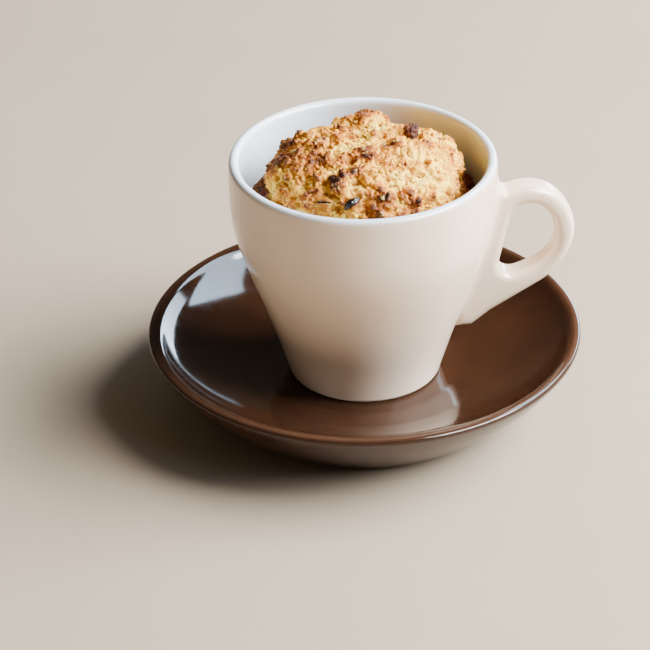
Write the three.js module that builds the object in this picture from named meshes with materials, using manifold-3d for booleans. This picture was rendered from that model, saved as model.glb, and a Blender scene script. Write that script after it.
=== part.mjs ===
// A bread pudding baked in a thick stoneware cup, which stands on its glossy saucer.
// Millimetres, +Z up. The origin is the centre of the saucer's foot, and the cup's ear points along +X.
import * as THREE from 'three';
import { mergeVertices } from 'three/addons/utils/BufferGeometryUtils.js';
import Module from 'manifold-3d';

const wasm = await Module();
wasm.setup();

// ---- driving dimensions: saucer, heights from the surface it stands on ----
const SAUCER_RADIUS = 71.0;
const SAUCER_RIM_HEIGHT = 25.0;         // where the rim is widest
const SAUCER_CREST_RADIUS = 68.9;
const SAUCER_CREST_HEIGHT = 26.1;
const SAUCER_LIP = 0.7;                 // how far the rounded rim falls away on each side
const SAUCER_FOOT_OUTER = 47.2;
const SAUCER_FOOT_INNER = 42.5;
const SAUCER_FOOT_ROUND = 0.9;
const SAUCER_RECESS = 6.0;              // height of the hollow inside the foot ring
const SAUCER_RECESS_FLARE = 3.0;
const WELL_HEIGHT = 11.3;               // top of the flat well, where the cup stands
const WELL_RADIUS = 31.0;
const WELL_EASE = [2.5, 0.35];          // width and height of the soft step from the well to the dish
// Curves of the underside and of the dish, each by four points of radius and height.
const UNDER_CURVE = [[47.3, 0.6], [56.5, 7.7], [65, 14.6], [70.8, 24.3]];
const DISH_CURVE = [[66.3, 24.9], [63, 21], [57, 17.2], [42, 13.1]];
const SAUCER_SEGMENTS = 60;
const SAUCER_STEPS = 6;                 // pieces in each of its curves

// ---- driving dimensions: cup, heights from its own foot ----
const CUP_HEIGHT = 77.3;
const CUP_RADIUS = 43.0;
const CUP_FOOT_RADIUS = 24.6;
const CUP_WALL_START = [25.1, 2.0];     // radius and height where the curved wall starts
const CUP_SHOULDER_HEIGHT = 66.1;       // above it the wall is upright
const CUP_TAPER = 0.292;                // radius gained for each millimetre of height at the foot
const CUP_TAPER_REACH = 37.3;
const CUP_SHOULDER_REACH = 20.0;
const CUP_WALL = 3.3;
const CUP_FLOOR_HEIGHT = 7.5;
const CUP_FLOOR_ROUND = 7.0;
const CUP_FOOT_RECESS = 2.0;
const CUP_FOOT_RING = 3.4;
const CUP_FOOT_ROUND = 0.6;
const CUP_SEGMENTS = 52;
const CUP_WALL_STEPS = 8;
const CUP_LIP_STEPS = 5;
const CUP_HOLLOW_STEPS = 5;
const CUP_FLOOR_STEPS = 3;

// ---- driving dimensions: the cup's ear, cast on as one loop with a spine along the wall ----
const EAR_WIDTH = 9.4;
const EAR_ROUND = 2.6;                  // rounding across the width
const EAR_EDGE = 2.0;                   // rounding within the loop's plane
const EAR_ROUND_STEPS = 3;
const EAR_CURVE_STEPS = 9;
const EAR_ROOT_RADIUS = 22.0;           // hidden inside the wall before the cup is hollowed
// The loop's outline from its blunt lower end round to the top, by points of radius and height.
const EAR_END = [35.0, 13.6];
const EAR_UNDERSIDE = [[41, 18.3], [57.6, 28]];
const EAR_BACK_CURVE = [[63.5, 31.4], [68.9, 39.2], [68.9, 46.2]];
const EAR_TOP_CURVE = [[68.9, 58.7], [57.5, 66.7], [47.4, 62.7]];
const EAR_FILLET_CURVE = [[45.2, 62.2], [43.6, 63.7], [43, 67.2]];
// The finger hole from the foot of the spine round to the same place.
const HOLE_START = [44.3, 37.6];
const HOLE_SPINE = [47.4, 51.2];
const HOLE_CURVES = [
  [[48.4, 55.8], [49.6, 57.3], [52.8, 57.3]],
  [[58.8, 57.3], [62.8, 51.6], [62.8, 44.5]],
  [[62.8, 37.3], [56.5, 34], [50, 32.1]],
  [[46.5, 31.2], [43.4, 33.8], HOLE_START],
];

// ---- driving dimensions: pudding, heights from the cup's rim ----
const GAP = 0.3;                        // left where one piece is cut by another
const WALL_GAP = 0.36;                  // between the pudding and the facets of the cup's wall
const DOME_RADIUS = 31.3;
const DOME_BASE = -7.6;
const DOME_RISE = 13.1;
const DOME_FULLNESS = 2.4;              // 2 is an ellipse, more is boxier
const DOME_OFFSET = [0.75, -0.8];       // the dome isn't quite in the cup's middle
const LOAF_TOP = -21.0;                 // below it the pudding fills the cup from wall to wall
const PUDDING_CENTRE = -9.1;
const PUDDING_DETAIL = 16;
const LUMP_SIZE = 7.0;
const LUMP_DEPTH = 3.2;
const CRUMB_SIZE = 3.4;
const CRUMB_DEPTH = 1.4;
const LUMP_SALT = 1;
const CRUMB_SALT = 7;
const MEAN_DISTANCE = 0.53;             // from a place to the nearest lump's centre, in lumps
const CRUST_FADES = [-20, -11];         // heights between which the crags die out down the side

// Broad swells and dips of the crust: direction and distance from the dome's axis, spread and height.
const SWELLS = [
  { turn: 71, out: 19.5, spread: 5, rise: 4.6 },
  { turn: 54, out: 21.5, spread: 3.5, rise: -2.6 },
  { turn: 50, out: 25, spread: 8, rise: -2.3 },
  { turn: 112, out: 26, spread: 7, rise: -1.0 },
  { turn: 16, out: 29, spread: 7, rise: 1.4 },
  { turn: -10, out: 31, spread: 6, rise: -1.5 },
  { turn: -140, out: 33, spread: 7, rise: 1.6 },
  { turn: -100, out: 24, spread: 9, rise: 0.8 },
  { turn: -150, out: 22, spread: 6, rise: -0.9 },
  { turn: -50, out: 19, spread: 7, rise: 0.8 },
];

// Raisins that show in the crust: place on the dome, half sizes, how far each stands proud, and its turn.
const RAISINS = [
  { name: 'raisin_front', turn: -105, out: 29.3, half: [2.9, 1.6, 1.7], proud: -0.5, spin: 24 },
  { name: 'raisin_left', turn: -123, out: 29.7, half: [2.8, 1.6, 1.6], proud: -1.0, spin: -25 },
  { name: 'raisin_top', turn: 19, out: 17.3, half: [3.1, 2.8, 2.4], proud: 0.7, spin: 70 },
];
const RAISIN_DETAIL = 2;
const RAISIN_CREASE = 0.07;             // share of its size by which a raisin's skin sinks in
const RAISIN_WAVES = [4, 7];            // how close the creases lie along it and across it

// ---- looks ----
const SAUCER_GLAZE = { color: 0x4a2c1c, roughness: 0.15 };
const CUP_GLAZE = { color: 0xece3da, roughness: 0.2 };
const CRUMB_LOOK = { color: 0xd9a352, roughness: 0.85 };
const RAISIN_LOOK = { color: 0x1c120c, roughness: 0.35 };

// ---- helpers: closed meshes, and joins and cuts between them ----
const RAD = Math.PI / 180;

// Shared vertices merged, and the triangles that fold to a line on the axis dropped.
function welded(geometry) {
  const bare = geometry.clone();
  bare.deleteAttribute('normal');
  bare.deleteAttribute('uv');
  const merged = mergeVertices(bare, 1e-4);
  const corners = merged.index.array;
  const kept = [];
  for (let i = 0; i < corners.length; i += 3) {
    const [a, b, c] = corners.slice(i, i + 3);
    if (a !== b && b !== c && c !== a) kept.push(a, b, c);
  }
  merged.setIndex(kept);
  return merged;
}

function toSolid(geometry) {
  const bare = welded(geometry);
  const mesh = new wasm.Mesh({
    numProp: 3,
    vertProperties: new Float32Array(bare.attributes.position.array),
    triVerts: new Uint32Array(bare.index.array),
  });
  mesh.merge();
  return new wasm.Manifold(mesh);
}

function toGeometry(solid) {
  const mesh = solid.getMesh();
  const geometry = new THREE.BufferGeometry();
  geometry.setAttribute('position', new THREE.BufferAttribute(mesh.vertProperties, 3));
  geometry.setIndex(new THREE.BufferAttribute(mesh.triVerts, 1));
  return geometry;
}

// A turned solid from a profile of (radius, height) points that starts and ends on the axis.
function turned(profile, segments) {
  const geometry = new THREE.LatheGeometry(profile, segments);
  geometry.rotateX(Math.PI / 2);
  return geometry;
}

const at = (radius, height) => new THREE.Vector2(radius, height);

// Points along a curve that is given by its two ends and the two points that it leans towards.
function bend(corners, steps) {
  const [from, lean, reach, to] = corners.map(([radius, height]) => at(radius, height));
  return new THREE.CubicBezierCurve(from, lean, reach, to).getPoints(steps);
}

// Part of a circle in the profile, from one angle to another in degrees.
function round(centre, radius, fromAngle, toAngle, steps) {
  const points = [];
  for (let i = 0; i <= steps; i++) {
    const angle = (fromAngle + ((toAngle - fromAngle) * i) / steps) * RAD;
    points.push(at(centre.x + radius * Math.cos(angle), centre.y + radius * Math.sin(angle)));
  }
  return points;
}

function named(name, geometry, look) {
  const shown = geometry.clone();
  shown.computeVertexNormals();
  const mesh = new THREE.Mesh(shown, new THREE.MeshStandardMaterial(look));
  mesh.name = name;
  return mesh;
}

// ---- saucer ----
function saucerGeometry() {
  const profile = [
    at(0, SAUCER_RECESS),
    at(SAUCER_FOOT_INNER - SAUCER_RECESS_FLARE, SAUCER_RECESS),
    at(SAUCER_FOOT_INNER - SAUCER_LIP, SAUCER_RECESS - SAUCER_RECESS_FLARE / 2),
    at(SAUCER_FOOT_INNER + SAUCER_FOOT_ROUND, 0),
    at(SAUCER_FOOT_OUTER - SAUCER_FOOT_ROUND, 0),
    ...bend(UNDER_CURVE, SAUCER_STEPS),
    at(SAUCER_RADIUS, SAUCER_RIM_HEIGHT),
    at(SAUCER_RADIUS - SAUCER_LIP, SAUCER_CREST_HEIGHT - SAUCER_LIP / 2),
    at(SAUCER_CREST_RADIUS, SAUCER_CREST_HEIGHT),
    at(SAUCER_CREST_RADIUS - 2 * SAUCER_LIP, SAUCER_CREST_HEIGHT - SAUCER_LIP / 2),
    ...bend(DISH_CURVE, SAUCER_STEPS),
    at(WELL_RADIUS + WELL_EASE[0], WELL_HEIGHT + WELL_EASE[1]),
    at(WELL_RADIUS, WELL_HEIGHT),
    at(0, WELL_HEIGHT),
  ];
  return turned(profile, SAUCER_SEGMENTS);
}

// ---- cup ----
// Outer wall from the foot up to the shoulder, as points of (radius, height).
function cupWall(steps) {
  const [radius, height] = CUP_WALL_START;
  const corners = [
    [radius, height],
    [radius + CUP_TAPER * CUP_TAPER_REACH, height + CUP_TAPER_REACH],
    [CUP_RADIUS, CUP_SHOULDER_HEIGHT - CUP_SHOULDER_REACH],
    [CUP_RADIUS, CUP_SHOULDER_HEIGHT],
  ];
  return bend(corners, steps);
}

// The wall's radius at a height, drawn in by a thickness.
const WALL_TABLE = cupWall(60);
function wallRadius(height, drawnIn) {
  if (height >= CUP_SHOULDER_HEIGHT) return CUP_RADIUS - drawnIn;
  let i = 0;
  while (i < WALL_TABLE.length - 2 && WALL_TABLE[i + 1].y < height) i++;
  const [low, high] = [WALL_TABLE[i], WALL_TABLE[i + 1]];
  const share = (height - low.y) / (high.y - low.y);
  return low.x + share * (high.x - low.x) - drawnIn;
}

// The hollow's profile from its floor to the rim, drawn in from the outer wall.
function hollow(drawnIn, floorHeight, floorRound, steps) {
  const floorEdge = floorHeight + floorRound;
  const floorRadius = wallRadius(floorEdge, drawnIn) - floorRound;
  const points = [at(0, floorHeight)];
  points.push(...round(at(floorRadius, floorEdge), floorRound, -90, -12, CUP_FLOOR_STEPS));
  for (let i = 1; i <= steps; i++) {
    const height = floorEdge + ((CUP_SHOULDER_HEIGHT - floorEdge) * i) / steps;
    points.push(at(wallRadius(height, drawnIn), height));
  }
  return points;
}

function cupBody() {
  const lip = CUP_WALL / 2;
  const inside = hollow(CUP_WALL, CUP_FLOOR_HEIGHT, CUP_FLOOR_ROUND, CUP_HOLLOW_STEPS).reverse();
  const profile = [
    at(0, CUP_FOOT_RECESS),
    at(CUP_FOOT_RADIUS - CUP_FOOT_RING - CUP_FOOT_ROUND, CUP_FOOT_RECESS),
    at(CUP_FOOT_RADIUS - CUP_FOOT_RING, 0),
    at(CUP_FOOT_RADIUS - CUP_FOOT_ROUND, 0),
    at(CUP_FOOT_RADIUS + CUP_FOOT_ROUND / 3, CUP_FOOT_ROUND),
    ...cupWall(CUP_WALL_STEPS),
    ...round(at(CUP_RADIUS - lip, CUP_HEIGHT - lip), lip, 0, 180, CUP_LIP_STEPS),
    ...inside,
  ];
  return turned(profile, CUP_SEGMENTS);
}

// The ear's outline in the plane of radius and height, with its finger hole.
function earOutline() {
  const outline = new THREE.Shape();
  outline.moveTo(EAR_ROOT_RADIUS, EAR_END[1]);
  outline.lineTo(...EAR_END);
  for (const corner of EAR_UNDERSIDE) outline.lineTo(...corner);
  for (const curve of [EAR_BACK_CURVE, EAR_TOP_CURVE, EAR_FILLET_CURVE]) {
    outline.bezierCurveTo(...curve.flat());
  }
  outline.lineTo(EAR_ROOT_RADIUS, EAR_FILLET_CURVE[2][1]);
  outline.closePath();
  const finger = new THREE.Path();
  finger.moveTo(...HOLE_START);
  finger.lineTo(...HOLE_SPINE);
  for (const curve of HOLE_CURVES) finger.bezierCurveTo(...curve.flat());
  outline.holes.push(finger);
  return outline;
}

function earGeometry() {
  const geometry = new THREE.ExtrudeGeometry(earOutline(), {
    depth: EAR_WIDTH - 2 * EAR_ROUND,
    bevelEnabled: true,
    bevelThickness: EAR_ROUND,
    bevelSize: EAR_EDGE,
    bevelOffset: -EAR_EDGE,
    bevelSegments: EAR_ROUND_STEPS,
    curveSegments: EAR_CURVE_STEPS,
  });
  geometry.translate(0, 0, EAR_ROUND - EAR_WIDTH / 2);
  geometry.rotateX(Math.PI / 2);
  return geometry;
}

// The ear is trimmed at the middle of the wall, so that it joins the wall and leaves the hollow free.
function cupGeometry() {
  const plugProfile = hollow(CUP_WALL / 2, CUP_FLOOR_HEIGHT / 2, CUP_FLOOR_ROUND, 12);
  plugProfile.push(at(CUP_RADIUS - CUP_WALL / 2, CUP_HEIGHT), at(0, CUP_HEIGHT));
  const plug = toSolid(turned(plugProfile, CUP_SEGMENTS));
  const ear = toSolid(earGeometry()).subtract(plug);
  const cup = toGeometry(toSolid(cupBody()).add(ear));
  cup.translate(0, 0, WELL_HEIGHT);
  return cup;
}

// ---- pudding ----
// A repeatable number from 0 to 1 for each cell of a grid.
function chance(i, j, k, salt) {
  const wave = Math.sin(i * 127.1 + j * 311.7 + k * 74.7 + salt * 53.3) * 43758.5453;
  return wave - Math.floor(wave);
}

// Distance from a point to the nearest of the scattered lump centres, one for each grid cell.
function lumpDistance(point, size, salt) {
  const cell = [point.x / size, point.y / size, point.z / size];
  const base = cell.map(Math.floor);
  let nearest = 9;
  for (let a = -1; a <= 1; a++) {
    for (let b = -1; b <= 1; b++) {
      for (let c = -1; c <= 1; c++) {
        const [i, j, k] = [base[0] + a, base[1] + b, base[2] + c];
        const dx = i + chance(i, j, k, salt) - cell[0];
        const dy = j + chance(i, j, k, salt + 1) - cell[1];
        const dz = k + chance(i, j, k, salt + 2) - cell[2];
        nearest = Math.min(nearest, Math.hypot(dx, dy, dz));
      }
    }
  }
  return nearest;
}

// Height of the broad swells at a place seen from above.
function swell(x, y) {
  let rise = 0;
  for (const one of SWELLS) {
    const dx = x - one.out * Math.cos(one.turn * RAD);
    const dy = y - one.out * Math.sin(one.turn * RAD);
    rise += one.rise * Math.exp(-(dx * dx + dy * dy) / (one.spread * one.spread));
  }
  return rise;
}

// The widest that the pudding may be inside the cup, at a height taken from the rim.
function roomAt(height) {
  const floor = CUP_FLOOR_HEIGHT - CUP_HEIGHT + GAP;
  const low = Math.max(0, CUP_FLOOR_ROUND - (height - floor)) / CUP_FLOOR_ROUND;
  if (low > 1) return -1;
  const tuck = CUP_FLOOR_ROUND * (1 - Math.sqrt(1 - low * low));
  return wallRadius(height + CUP_HEIGHT, CUP_WALL) - WALL_GAP - tuck;
}

// The radius of the pudding's smooth form: against the wall below, drawn in above, then the dome.
function formRadius(height) {
  if (height < DOME_BASE) {
    const drawnIn = THREE.MathUtils.smoothstep(height, LOAF_TOP, DOME_BASE);
    return THREE.MathUtils.lerp(roomAt(height), DOME_RADIUS, drawnIn);
  }
  const up = Math.min(1, (height - DOME_BASE) / DOME_RISE);
  return DOME_RADIUS * (1 - up ** DOME_FULLNESS) ** (1 / DOME_FULLNESS);
}

function insidePudding(point) {
  const drawnIn = THREE.MathUtils.smoothstep(point.z, LOAF_TOP, DOME_BASE);
  const [x, y] = DOME_OFFSET.map((offset) => offset * drawnIn);
  return Math.hypot(point.x - x, point.y - y) < formRadius(point.z);
}

// How far out from the centre the smooth form reaches in one direction.
function puddingReach(direction) {
  let [near, far] = [0, CUP_HEIGHT];
  for (let step = 0; step < 30; step++) {
    const middle = (near + far) / 2;
    const point = direction.clone().multiplyScalar(middle);
    point.z += PUDDING_CENTRE;
    if (insidePudding(point)) near = middle;
    else far = middle;
  }
  return near;
}

// How far the crust stands out of the smooth form: lumps, the crumb on them and the broad swells.
function crustDepth(point) {
  const lump = LUMP_DEPTH * (MEAN_DISTANCE - lumpDistance(point, LUMP_SIZE, LUMP_SALT));
  const crumb = CRUMB_DEPTH * (MEAN_DISTANCE - lumpDistance(point, CRUMB_SIZE, CRUMB_SALT));
  return lump + crumb + swell(point.x, point.y);
}

function puddingGeometry() {
  const geometry = welded(new THREE.IcosahedronGeometry(1, PUDDING_DETAIL));
  const place = geometry.attributes.position;
  for (let i = 0; i < place.count; i++) {
    const direction = new THREE.Vector3().fromBufferAttribute(place, i).normalize();
    const point = direction.clone().multiplyScalar(puddingReach(direction));
    point.z += PUDDING_CENTRE;
    const open = THREE.MathUtils.smoothstep(point.z, ...CRUST_FADES);
    point.addScaledVector(direction, crustDepth(point) * open);
    const radius = Math.hypot(point.x, point.y);
    const most = roomAt(point.z);
    if (radius > most) {
      point.x *= most / radius;
      point.y *= most / radius;
    }
    place.setXYZ(i, point.x, point.y, point.z);
  }
  return geometry;
}

// Where the crust's smooth form is at a raisin, and which way is out there.
function crustPlace(turn, out) {
  const x = out * Math.cos(turn * RAD);
  const y = out * Math.sin(turn * RAD);
  const aside = new THREE.Vector2(x - DOME_OFFSET[0], y - DOME_OFFSET[1]);
  const across = aside.length() / DOME_RADIUS;
  const up = (1 - across ** DOME_FULLNESS) ** (1 / DOME_FULLNESS);
  const steep = across ** (DOME_FULLNESS - 1) / DOME_RADIUS;
  const flat = up ** (DOME_FULLNESS - 1) / DOME_RISE;
  aside.setLength(steep);
  const outward = new THREE.Vector3(aside.x, aside.y, flat);
  return { point: new THREE.Vector3(x, y, DOME_BASE + DOME_RISE * up), outward: outward.normalize() };
}

// A wrinkled raisin, larger all round by the given margin.
function raisinGeometry(raisin, margin) {
  const geometry = welded(new THREE.IcosahedronGeometry(1, RAISIN_DETAIL));
  const place = geometry.attributes.position;
  const [length, width, height] = raisin.half.map((half) => half + margin);
  const [along, across] = RAISIN_WAVES;
  for (let i = 0; i < place.count; i++) {
    const direction = new THREE.Vector3().fromBufferAttribute(place, i).normalize();
    const crease = (1 + Math.sin(across * direction.y + along * direction.x)) / 2;
    const wrinkle = margin > 0 ? 1 : 1 - RAISIN_CREASE * crease;
    place.setXYZ(
      i, direction.x * length * wrinkle, direction.y * width * wrinkle, direction.z * height * wrinkle,
    );
  }
  const { point, outward } = crustPlace(raisin.turn, raisin.out);
  geometry.rotateZ(raisin.spin * RAD);
  geometry.applyQuaternion(new THREE.Quaternion().setFromUnitVectors(new THREE.Vector3(0, 0, 1), outward));
  point.addScaledVector(outward, raisin.proud + swell(point.x, point.y));
  geometry.translate(point.x, point.y, point.z);
  return geometry;
}

// ---- the whole: saucer, cup, pudding and the raisins that lie in its crust ----
const rimHeight = WELL_HEIGHT + CUP_HEIGHT;
const whole = new THREE.Group();
whole.add(named('saucer', saucerGeometry(), SAUCER_GLAZE));
whole.add(named('cup', cupGeometry(), CUP_GLAZE));

const food = new THREE.Group();
food.position.z = rimHeight;
let crumb = toSolid(puddingGeometry());
for (const raisin of RAISINS) {
  crumb = crumb.subtract(toSolid(raisinGeometry(raisin, GAP)));
  food.add(named(raisin.name, raisinGeometry(raisin, 0), RAISIN_LOOK));
}
food.add(named('pudding', toGeometry(crumb), CRUMB_LOOK));
whole.add(food);
whole.updateMatrixWorld(true);

export default whole;
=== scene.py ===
"""A bread pudding with raisins, baked in a thick stoneware cup that stands on its glossy saucer.

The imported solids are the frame. Each piece is worked out in millimetres, with the cup's ear along +X,
and becomes a mesh in metres at the end. The saucer's heights are measured from its own foot, the cup's
from the cup's foot and the pudding's from the cup's rim.
"""
import itertools
import math

import bpy
import numpy as np
from mathutils import Euler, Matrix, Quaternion, Vector


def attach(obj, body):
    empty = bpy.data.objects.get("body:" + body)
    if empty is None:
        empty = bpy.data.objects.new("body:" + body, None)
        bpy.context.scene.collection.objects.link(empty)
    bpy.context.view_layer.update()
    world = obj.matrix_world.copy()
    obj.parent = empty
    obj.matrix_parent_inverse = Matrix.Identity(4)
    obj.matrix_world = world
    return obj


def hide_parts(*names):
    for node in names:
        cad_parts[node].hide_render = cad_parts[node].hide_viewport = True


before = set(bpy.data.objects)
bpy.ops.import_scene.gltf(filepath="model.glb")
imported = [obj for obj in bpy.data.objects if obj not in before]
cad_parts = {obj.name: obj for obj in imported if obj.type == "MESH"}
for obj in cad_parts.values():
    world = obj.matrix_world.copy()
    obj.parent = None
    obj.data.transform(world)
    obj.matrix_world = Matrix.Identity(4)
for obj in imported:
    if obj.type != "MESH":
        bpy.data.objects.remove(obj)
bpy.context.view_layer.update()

MM = 0.001
RAD = math.pi / 180
SEED = 20

# ---- driving dimensions, as in the solids ----
WELL_HEIGHT = 11.3
CUP_HEIGHT = 77.3
RIM_HEIGHT = WELL_HEIGHT + CUP_HEIGHT
CUP_RADIUS = 43.0
CUP_WALL = 3.3
CUP_LIP = CUP_WALL / 2

# ---- the photograph's view: from a point of the cup's axis, then how far the aim is turned off it ----
CAMERA_AIM_HEIGHT = RIM_HEIGHT
CAMERA_AZIMUTH = -8.0
CAMERA_ELEVATION = 28.051
CAMERA_DISTANCE = 1117.25
AIM_TURN, AIM_TILT, AIM_ROLL = -0.645, -2.75, -0.543
FOCAL_PIXELS = 3500.0
PHOTO_PIXELS = 650.0
SENSOR = 36.0


# ---- small maths ----
def smoothstep(x, low, high):
    share = np.clip((x - low) / (high - low), 0, 1)
    return share * share * (3 - 2 * share)


def lerp(a, b, share):
    return a + (b - a) * share


def unit(vectors):
    return vectors / np.maximum(np.linalg.norm(vectors, axis=-1, keepdims=True), 1e-12)


def bend(corners, steps=16):
    """Points along a curve given by its two ends and the two points that it leans towards."""
    a, b, c, d = (np.array(corner, float) for corner in corners)
    t = np.linspace(0, 1, steps + 1)[:, None]
    return (1 - t) ** 3 * a + 3 * (1 - t) ** 2 * t * b + 3 * (1 - t) * t * t * c + t ** 3 * d


def arc(centre, radius, from_angle, to_angle, steps=12):
    angle = np.linspace(from_angle, to_angle, steps + 1) * RAD
    return np.array(centre) + radius * np.stack([np.cos(angle), np.sin(angle)], 1)


def chained(*stretches):
    """One path from stretches that follow each other, without the points that they share."""
    path = np.concatenate([np.atleast_2d(np.array(one, float)) for one in stretches])
    moved = np.linalg.norm(np.diff(path, axis=0), axis=1) > 1e-6
    return path[np.concatenate([[True], moved])]


def evened(path, step):
    """The same path with points at an even distance."""
    along = np.concatenate([[0], np.cumsum(np.linalg.norm(np.diff(path, axis=0), axis=1))])
    places = np.linspace(0, along[-1], int(along[-1] / step) + 1)
    return np.stack([np.interp(places, along, path[:, axis]) for axis in (0, 1)], 1)


def softened(path, rounds):
    """The path with its corners eased; its ends stay."""
    for _ in range(rounds):
        path[1:-1] = path[1:-1] / 2 + (path[:-2] + path[2:]) / 4
    return path


def side_normals(path):
    """Normals on the right of the way that a path runs, smooth from point to point."""
    way = unit(np.gradient(path, axis=0))
    return np.stack([way[:, 1], -way[:, 0]], 1)


# ---- repeatable noise; the first two are the ones that shape the solids ----
def chance(i, j, k, salt):
    wave = np.sin(i * 127.1 + j * 311.7 + k * 74.7 + salt * 53.3) * 43758.5453
    return wave - np.floor(wave)


def lumps(points, size, salt):
    """Distances to the nearest and second nearest of scattered centres, and the nearest one's own number."""
    cell = points / size
    base = np.floor(cell)
    nearest, second, luck = (np.full(len(points), value) for value in (9.0, 9.0, 0.0))
    for step in itertools.product((-1, 0, 1), repeat=3):
        corner = base + step
        centre = corner + np.stack([chance(*corner.T, salt + axis) for axis in range(3)], 1)
        away = np.linalg.norm(centre - cell, axis=1)
        closer = away < nearest
        second = np.where(closer, nearest, np.minimum(second, away))
        luck = np.where(closer, chance(*corner.T, salt + 3), luck)
        nearest = np.where(closer, away, nearest)
    return nearest, second, luck


def fog(points, size, salt):
    """Soft noise from 0 to 1."""
    cell = points / size
    base = np.floor(cell)
    share = smoothstep(cell - base, 0, 1)
    total = np.zeros(len(points))
    for step in itertools.product((0, 1), repeat=3):
        weight = np.prod(np.where(np.array(step) == 1, share, 1 - share), axis=1)
        total += weight * chance(*(base + step).T, salt)
    return total


# ---- meshes ----
def vertex_normals(points, faces):
    corners = points[faces]
    flat = np.cross(corners[:, 1] - corners[:, 0], corners[:, 2] - corners[:, 0])
    normals = np.zeros_like(points)
    for corner in range(3):
        np.add.at(normals, faces[:, corner], flat)
    return unit(normals)


def geodesic(frequency):
    """Directions and triangles of an icosahedron whose edges are each cut into equal pieces."""
    golden = (1 + math.sqrt(5)) / 2
    corners = np.array([
        place for a in (-1, 1) for b in (-golden, golden) for place in ((0, a, b), (a, b, 0), (b, 0, a))
    ], float)
    apart = np.linalg.norm(corners[:, None] - corners[None], axis=2)
    near = (apart > 1) & (apart < 2.5)
    rows, columns = np.array([
        (row, column) for row in range(frequency + 1) for column in range(frequency + 1 - row)
    ]).T
    place = {pair: n for n, pair in enumerate(zip(rows.tolist(), columns.tolist()))}
    cut = []
    for (row, column), n in place.items():
        if row + column < frequency:
            cut.append((n, place[row + 1, column], place[row, column + 1]))
        if row + column < frequency - 1:
            cut.append((place[row + 1, column], place[row + 1, column + 1], place[row, column + 1]))
    points, faces = [], []
    for a, b, c in itertools.combinations(range(12), 3):
        if not (near[a, b] and near[b, c] and near[a, c]):
            continue
        if np.dot(np.cross(corners[b] - corners[a], corners[c] - corners[a]), corners[a]) < 0:
            b, c = c, b
        whole = frequency - rows - columns
        faces.append(np.array(cut) + len(points) * len(rows))
        points.append(np.stack([whole, rows, columns], 1) @ corners[[a, b, c]])
    points = unit(np.concatenate(points))
    _, first, shared = np.unique(points.round(6), axis=0, return_index=True, return_inverse=True)
    return points[first], shared.reshape(-1)[np.concatenate(faces)]


def lathe(profile, segments):
    """Points, faces and normals of a profile of (radius, height) turned from axis to axis."""
    angle = np.arange(segments) * 2 * math.pi / segments
    turn = np.stack([np.cos(angle), np.sin(angle)], 1)

    def swept(pairs):
        level = np.repeat(pairs[:, 1], segments)[:, None]
        return np.concatenate([(pairs[:, 0][:, None, None] * turn).reshape(-1, 2), level], 1)

    rings = len(profile) - 2
    poles = np.array([[0, 0, profile[0, 1]], [0, 0, profile[-1, 1]]])
    points = np.concatenate([swept(profile[1:-1]), poles])
    normals = np.concatenate([swept(side_normals(profile)[1:-1]), [[0, 0, -1], [0, 0, 1]]])
    faces = []
    for ring in range(rings - 1):
        for n in range(segments):
            a, b = ring * segments + n, ring * segments + (n + 1) % segments
            faces.append((a, b, b + segments, a + segments))
    last = (rings - 1) * segments
    for n in range(segments):
        after = (n + 1) % segments
        faces.append((rings * segments, after, n))
        faces.append((rings * segments + 1, last + n, last + after))
    return points, faces, normals


def make_piece(name, points, faces, material, nodes, normals=None, values=None):
    """A mesh object in metres that rides on the root, stands for CAD nodes and has values at its points."""
    mesh = bpy.data.meshes.new(name)
    mesh.from_pydata(points * MM, [], faces if isinstance(faces, list) else faces.tolist())
    mesh.update()
    for key, numbers in (values or {}).items():
        layer = mesh.attributes.new(key, "FLOAT", "POINT")
        layer.data.foreach_set("value", np.asarray(numbers, np.float32))
    mesh.materials.append(material)
    mesh.shade_smooth()
    if normals is not None:
        mesh.normals_split_custom_set_from_vertices(normals)
    piece = bpy.data.objects.new(name, mesh)
    bpy.context.scene.collection.objects.link(piece)
    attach(piece, "root")
    if nodes:
        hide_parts(*nodes)


# ---- materials ----
def paint(red, green, blue):
    """A colour as it is seen, 0 to 255, in the shader's own terms."""
    seen = np.array([red, green, blue]) / 255
    return (*np.where(seen > 0.04045, ((seen + 0.055) / 1.055) ** 2.4, seen / 12.92), 1.0)


def new_material(name):
    made = bpy.data.materials.new(name)
    made.use_nodes = True
    return made, made.node_tree, made.node_tree.nodes["Principled BSDF"]


def node(tree, kind, sockets=None, **settings):
    """A shader node; a socket's value is a number, a colour or another node's output."""
    made = tree.nodes.new(kind)
    for key, value in settings.items():
        setattr(made, key, value)
    wire(tree, made, sockets or {})
    return made


def wire(tree, made, sockets):
    for key, value in sockets.items():
        if isinstance(value, bpy.types.NodeSocket):
            tree.links.new(value, made.inputs[key])
        else:
            made.inputs[key].default_value = value


def grain(tree, feature, detail=2.0, roughness=0.5):
    """Noise whose features are about this many millimetres across."""
    place = node(tree, "ShaderNodeTexCoord").outputs["Object"]
    sockets = {"Vector": place, "Scale": 1 / (feature * MM), "Detail": detail, "Roughness": roughness}
    return node(tree, "ShaderNodeTexNoise", sockets).outputs["Fac"]


def ranged(tree, value, low, high, to_low, to_high):
    sockets = {"Value": value, "From Min": low, "From Max": high, "To Min": to_low, "To Max": to_high}
    return node(tree, "ShaderNodeMapRange", sockets).outputs["Result"]


def mixed(tree, share, first, second, blend="MIX"):
    made = node(tree, "ShaderNodeMix", data_type="RGBA", blend_type=blend)
    wire(tree, made, {0: share, 6: first, 7: second})
    return made.outputs[2]


def attribute(tree, name):
    return node(tree, "ShaderNodeAttribute", attribute_name=name).outputs["Fac"]


def maths(tree, operation, first, second):
    made = node(tree, "ShaderNodeMath", operation=operation)
    wire(tree, made, {0: first, 1: second})
    return made.outputs["Value"]


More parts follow.
